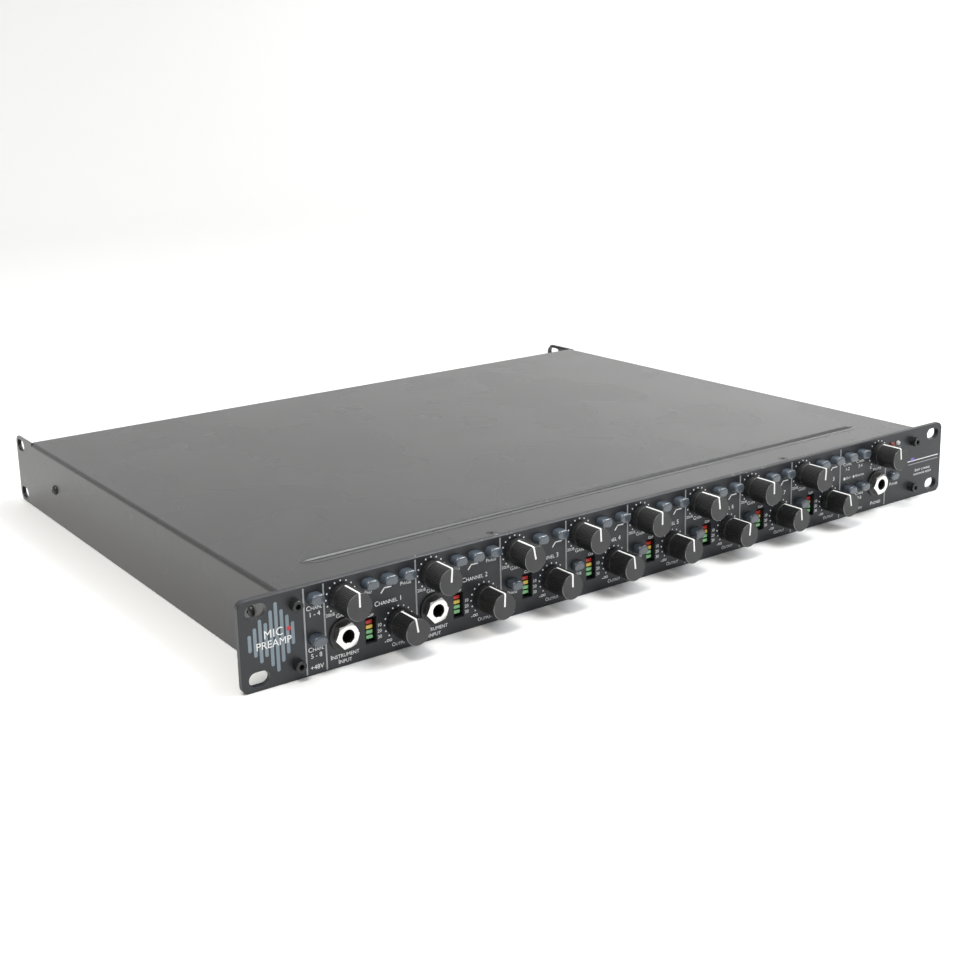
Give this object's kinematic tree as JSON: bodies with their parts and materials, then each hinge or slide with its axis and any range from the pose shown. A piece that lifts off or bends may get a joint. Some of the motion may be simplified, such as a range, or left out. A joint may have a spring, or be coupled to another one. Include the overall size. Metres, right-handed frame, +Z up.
{
  "type": "rack microphone preamp",
  "caption": "One-unit rack microphone preamp with rotary knobs, push buttons, level meters and jack sockets on a slotted front panel.",
  "frame": {"origin": "centre of the four rack slots, on the back face of the front panel", "axes": "+X to the right seen from the front, +Y from the front panel to the rear, +Z up"},
  "size_m": [0.4826, 0.3788, 0.0436],
  "materials": {
    "panel_black": "satin black anodised",
    "case_paint": "satin dark grey powder paint",
    "black_screw": "black oxide",
    "circuit_board": "solder mask",
    "meter_plastic": "black with coloured light bars",
    "jack_black": "moulded",
    "nickel": "bright nickel",
    "tube_glass": "clear with grey getter",
    "wound_core": "varnished winding",
    "connector_black": "moulded",
    "knob_black": "ribbed with a turned dark face",
    "button_tint": "smoky blue-grey, slightly clear"
  },
  "bodies": {
    "chassis": {"front_panel": "panel_black", "chassis_tray": "case_paint", "top_cover": "case_paint", "casing_screws": "black_screw", "control_board": "circuit_board", "level_meters": "meter_plastic", "front_jacks": "jack_black", "panel_nuts": "nickel", "main_board": "circuit_board", "vacuum_tubes": "tube_glass", "power_transformer": "wound_core", "rear_connectors": "connector_black"},
    "gain_knob_1": {"gain_knob_1": "knob_black"},
    "output_knob_1": {"output_knob_1": "knob_black"},
    "pad_button_1": {"pad_button_1": "button_tint"},
    "lowcut_button_1": {"lowcut_button_1": "button_tint"},
    "phase_button_1": {"phase_button_1": "button_tint"},
    "phantom_button_1": {"phantom_button_1": "button_tint"},
    "phantom_button_2": {"phantom_button_2": "button_tint"},
    "monitor_button_1": {"monitor_button_1": "button_tint"},
    "monitor_button_2": {"monitor_button_2": "button_tint"},
    "monitor_button_3": {"monitor_button_3": "button_tint"},
    "monitor_button_4": {"monitor_button_4": "button_tint"},
    "phones_knob": {"phones_knob": "knob_black"},
    "power_button": {"power_button": "button_tint"},
    "gain_knob_3": {"gain_knob_3": "knob_black"},
    "output_knob_3": {"output_knob_3": "knob_black"},
    "phase_button_3": {"phase_button_3": "button_tint"},
    "phase_button_4": {"phase_button_4": "button_tint"},
    "pad_button_3": {"pad_button_3": "button_tint"},
    "lowcut_button_3": {"lowcut_button_3": "button_tint"},
    "gain_knob_8": {"gain_knob_8": "knob_black"},
    "output_knob_8": {"output_knob_8": "knob_black"},
    "phase_button_8": {"phase_button_8": "button_tint"},
    "lowcut_button_8": {"lowcut_button_8": "button_tint"},
    "gain_knob_2": {"gain_knob_2": "knob_black"},
    "output_knob_2": {"output_knob_2": "knob_black"},
    "gain_knob_4": {"gain_knob_4": "knob_black"},
    "output_knob_4": {"output_knob_4": "knob_black"},
    "gain_knob_5": {"gain_knob_5": "knob_black"},
    "output_knob_5": {"output_knob_5": "knob_black"},
    "gain_knob_6": {"gain_knob_6": "knob_black"},
    "output_knob_6": {"output_knob_6": "knob_black"},
    "gain_knob_7": {"gain_knob_7": "knob_black"},
    "output_knob_7": {"output_knob_7": "knob_black"},
    "pad_button_2": {"pad_button_2": "button_tint"},
    "lowcut_button_2": {"lowcut_button_2": "button_tint"},
    "phase_button_2": {"phase_button_2": "button_tint"},
    "pad_button_4": {"pad_button_4": "button_tint"},
    "lowcut_button_4": {"lowcut_button_4": "button_tint"},
    "pad_button_5": {"pad_button_5": "button_tint"},
    "lowcut_button_5": {"lowcut_button_5": "button_tint"},
    "phase_button_5": {"phase_button_5": "button_tint"},
    "pad_button_6": {"pad_button_6": "button_tint"},
    "lowcut_button_6": {"lowcut_button_6": "button_tint"},
    "phase_button_6": {"phase_button_6": "button_tint"},
    "pad_button_7": {"pad_button_7": "button_tint"},
    "lowcut_button_7": {"lowcut_button_7": "button_tint"},
    "phase_button_7": {"phase_button_7": "button_tint"},
    "pad_button_8": {"pad_button_8": "button_tint"}
  },
  "joints": [
    {"name": "gain_knob_1_turn", "type": "hinge", "parent": "chassis", "child": "gain_knob_1", "pos_m": [-0.1895, 0, 0.0122], "axis": [0, 1, 0], "range_deg": [-135, 135]},
    {"name": "output_knob_1_turn", "type": "hinge", "parent": "chassis", "child": "output_knob_1", "pos_m": [-0.1592, 0, -0.0075], "axis": [0, 1, 0], "range_deg": [-126, 144]},
    {"name": "pad_button_1_press", "type": "slide", "parent": "chassis", "child": "pad_button_1", "axis": [0, 1, 0], "range_m": [0, 0.0025], "stiffness_N_per_m": 200, "springref_m": -0.004},
    {"name": "lowcut_button_1_press", "type": "slide", "parent": "chassis", "child": "lowcut_button_1", "axis": [0, 1, 0], "range_m": [0, 0.0025], "stiffness_N_per_m": 200, "springref_m": -0.004},
    {"name": "phase_button_1_press", "type": "slide", "parent": "chassis", "child": "phase_button_1", "axis": [0, 1, 0], "range_m": [0, 0.0025], "stiffness_N_per_m": 200, "springref_m": -0.004},
    {"name": "phantom_button_1_press", "type": "slide", "parent": "chassis", "child": "phantom_button_1", "axis": [0, 1, 0], "range_m": [0, 0.0025], "stiffness_N_per_m": 200, "springref_m": -0.004},
    {"name": "phantom_button_2_press", "type": "slide", "parent": "chassis", "child": "phantom_button_2", "axis": [0, 1, 0], "range_m": [0, 0.0025], "stiffness_N_per_m": 200, "springref_m": -0.004},
    {"name": "monitor_button_1_press", "type": "slide", "parent": "chassis", "child": "monitor_button_1", "axis": [0, 1, 0], "range_m": [0, 0.0025], "stiffness_N_per_m": 200, "springref_m": -0.004},
    {"name": "monitor_button_2_press", "type": "slide", "parent": "chassis", "child": "monitor_button_2", "axis": [0, 1, 0], "range_m": [0, 0.0025], "stiffness_N_per_m": 200, "springref_m": -0.004},
    {"name": "monitor_button_3_press", "type": "slide", "parent": "chassis", "child": "monitor_button_3", "axis": [0, 1, 0], "range_m": [0, 0.0025], "stiffness_N_per_m": 200, "springref_m": -0.004},
    {"name": "monitor_button_4_press", "type": "slide", "parent": "chassis", "child": "monitor_button_4", "axis": [0, 1, 0], "range_m": [0, 0.0025], "stiffness_N_per_m": 200, "springref_m": -0.004},
    {"name": "phones_knob_turn", "type": "hinge", "parent": "chassis", "child": "phones_knob", "pos_m": [0.1816, 0, 0.0122], "axis": [0, 1, 0], "range_deg": [-128, 142]},
    {"name": "power_button_press", "type": "slide", "parent": "chassis", "child": "power_button", "axis": [0, 1, 0], "range_m": [-0.0025, 0], "stiffness_N_per_m": 200, "springref_m": 0.002},
    {"name": "gain_knob_3_turn", "type": "hinge", "parent": "chassis", "child": "gain_knob_3", "pos_m": [-0.0904, 0, 0.0122], "axis": [0, 1, 0], "range_deg": [-124, 146]},
    {"name": "output_knob_3_turn", "type": "hinge", "parent": "chassis", "child": "output_knob_3", "pos_m": [-0.0676, 0, -0.0075], "axis": [0, 1, 0], "range_deg": [-135, 135]},
    {"name": "phase_button_3_press", "type": "slide", "parent": "chassis", "child": "phase_button_3", "axis": [0, 1, 0], "range_m": [0, 0.0025], "stiffness_N_per_m": 200, "springref_m": -0.004},
    {"name": "phase_button_4_press", "type": "slide", "parent": "chassis", "child": "phase_button_4", "axis": [0, 1, 0], "range_m": [-0.0025, 0], "stiffness_N_per_m": 200, "springref_m": 0.002},
    {"name": "pad_button_3_press", "type": "slide", "parent": "chassis", "child": "pad_button_3", "axis": [0, 1, 0], "range_m": [0, 0.0025], "stiffness_N_per_m": 200, "springref_m": -0.004},
    {"name": "lowcut_button_3_press", "type": "slide", "parent": "chassis", "child": "lowcut_button_3", "axis": [0, 1, 0], "range_m": [0, 0.0025], "stiffness_N_per_m": 200, "springref_m": -0.004},
    {"name": "gain_knob_8_turn", "type": "hinge", "parent": "chassis", "child": "gain_knob_8", "pos_m": [0.11595, 0, 0.0122], "axis": [0, 1, 0], "range_deg": [-138, 132]},
    {"name": "output_knob_8_turn", "type": "hinge", "parent": "chassis", "child": "output_knob_8", "pos_m": [0.13875, 0, -0.0075], "axis": [0, 1, 0], "range_deg": [-123, 147]},
    {"name": "phase_button_8_press", "type": "slide", "parent": "chassis", "child": "phase_button_8", "axis": [0, 1, 0], "range_m": [0, 0.0025], "stiffness_N_per_m": 200, "springref_m": -0.004},
    {"name": "lowcut_button_8_press", "type": "slide", "parent": "chassis", "child": "lowcut_button_8", "axis": [0, 1, 0], "range_m": [0, 0.0025], "stiffness_N_per_m": 200, "springref_m": -0.004},
    {"name": "gain_knob_2_turn", "type": "hinge", "parent": "chassis", "child": "gain_knob_2", "pos_m": [-0.13995, 0, 0.0122], "axis": [0, 1, 0], "range_deg": [-140, 130]},
    {"name": "output_knob_2_turn", "type": "hinge", "parent": "chassis", "child": "output_knob_2", "pos_m": [-0.10965, 0, -0.0075], "axis": [0, 1, 0], "range_deg": [-138, 132]},
    {"name": "gain_knob_4_turn", "type": "hinge", "parent": "chassis", "child": "gain_knob_4", "pos_m": [-0.04913, 0, 0.0122], "axis": [0, 1, 0], "range_deg": [-132, 138]},
    {"name": "output_knob_4_turn", "type": "hinge", "parent": "chassis", "child": "output_knob_4", "pos_m": [-0.02633, 0, -0.0075], "axis": [0, 1, 0], "range_deg": [-128, 142]},
    {"name": "gain_knob_5_turn", "type": "hinge", "parent": "chassis", "child": "gain_knob_5", "pos_m": [-0.00786, 0, 0.0122], "axis": [0, 1, 0], "range_deg": [-135, 135]},
    {"name": "output_knob_5_turn", "type": "hinge", "parent": "chassis", "child": "output_knob_5", "pos_m": [0.01494, 0, -0.0075], "axis": [0, 1, 0], "range_deg": [-131, 139]},
    {"name": "gain_knob_6_turn", "type": "hinge", "parent": "chassis", "child": "gain_knob_6", "pos_m": [0.03341, 0, 0.0122], "axis": [0, 1, 0], "range_deg": [-127, 143]},
    {"name": "output_knob_6_turn", "type": "hinge", "parent": "chassis", "child": "output_knob_6", "pos_m": [0.05621, 0, -0.0075], "axis": [0, 1, 0], "range_deg": [-140, 130]},
    {"name": "gain_knob_7_turn", "type": "hinge", "parent": "chassis", "child": "gain_knob_7", "pos_m": [0.07468, 0, 0.0122], "axis": [0, 1, 0], "range_deg": [-133, 137]},
    {"name": "output_knob_7_turn", "type": "hinge", "parent": "chassis", "child": "output_knob_7", "pos_m": [0.09748, 0, -0.0075], "axis": [0, 1, 0], "range_deg": [-129, 141]},
    {"name": "pad_button_2_press", "type": "slide", "parent": "chassis", "child": "pad_button_2", "axis": [0, 1, 0], "range_m": [0, 0.0025], "stiffness_N_per_m": 200, "springref_m": -0.004},
    {"name": "lowcut_button_2_press", "type": "slide", "parent": "chassis", "child": "lowcut_button_2", "axis": [0, 1, 0], "range_m": [0, 0.0025], "stiffness_N_per_m": 200, "springref_m": -0.004},
    {"name": "phase_button_2_press", "type": "slide", "parent": "chassis", "child": "phase_button_2", "axis": [0, 1, 0], "range_m": [0, 0.0025], "stiffness_N_per_m": 200, "springref_m": -0.004},
    {"name": "pad_button_4_press", "type": "slide", "parent": "chassis", "child": "pad_button_4", "axis": [0, 1, 0], "range_m": [0, 0.0025], "stiffness_N_per_m": 200, "springref_m": -0.004},
    {"name": "lowcut_button_4_press", "type": "slide", "parent": "chassis", "child": "lowcut_button_4", "axis": [0, 1, 0], "range_m": [0, 0.0025], "stiffness_N_per_m": 200, "springref_m": -0.004},
    {"name": "pad_button_5_press", "type": "slide", "parent": "chassis", "child": "pad_button_5", "axis": [0, 1, 0], "range_m": [0, 0.0025], "stiffness_N_per_m": 200, "springref_m": -0.004},
    {"name": "lowcut_button_5_press", "type": "slide", "parent": "chassis", "child": "lowcut_button_5", "axis": [0, 1, 0], "range_m": [0, 0.0025], "stiffness_N_per_m": 200, "springref_m": -0.004},
    {"name": "phase_button_5_press", "type": "slide", "parent": "chassis", "child": "phase_button_5", "axis": [0, 1, 0], "range_m": [0, 0.0025], "stiffness_N_per_m": 200, "springref_m": -0.004},
    {"name": "pad_button_6_press", "type": "slide", "parent": "chassis", "child": "pad_button_6", "axis": [0, 1, 0], "range_m": [0, 0.0025], "stiffness_N_per_m": 200, "springref_m": -0.004},
    {"name": "lowcut_button_6_press", "type": "slide", "parent": "chassis", "child": "lowcut_button_6", "axis": [0, 1, 0], "range_m": [0, 0.0025], "stiffness_N_per_m": 200, "springref_m": -0.004},
    {"name": "phase_button_6_press", "type": "slide", "parent": "chassis", "child": "phase_button_6", "axis": [0, 1, 0], "range_m": [0, 0.0025], "stiffness_N_per_m": 200, "springref_m": -0.004},
    {"name": "pad_button_7_press", "type": "slide", "parent": "chassis", "child": "pad_button_7", "axis": [0, 1, 0], "range_m": [0, 0.0025], "stiffness_N_per_m": 200, "springref_m": -0.004},
    {"name": "lowcut_button_7_press", "type": "slide", "parent": "chassis", "child": "lowcut_button_7", "axis": [0, 1, 0], "range_m": [0, 0.0025], "stiffness_N_per_m": 200, "springref_m": -0.004},
    {"name": "phase_button_7_press", "type": "slide", "parent": "chassis", "child": "phase_button_7", "axis": [0, 1, 0], "range_m": [0, 0.0025], "stiffness_N_per_m": 200, "springref_m": -0.004},
    {"name": "pad_button_8_press", "type": "slide", "parent": "chassis", "child": "pad_button_8", "axis": [0, 1, 0], "range_m": [0, 0.0025], "stiffness_N_per_m": 200, "springref_m": -0.004}
  ]
}
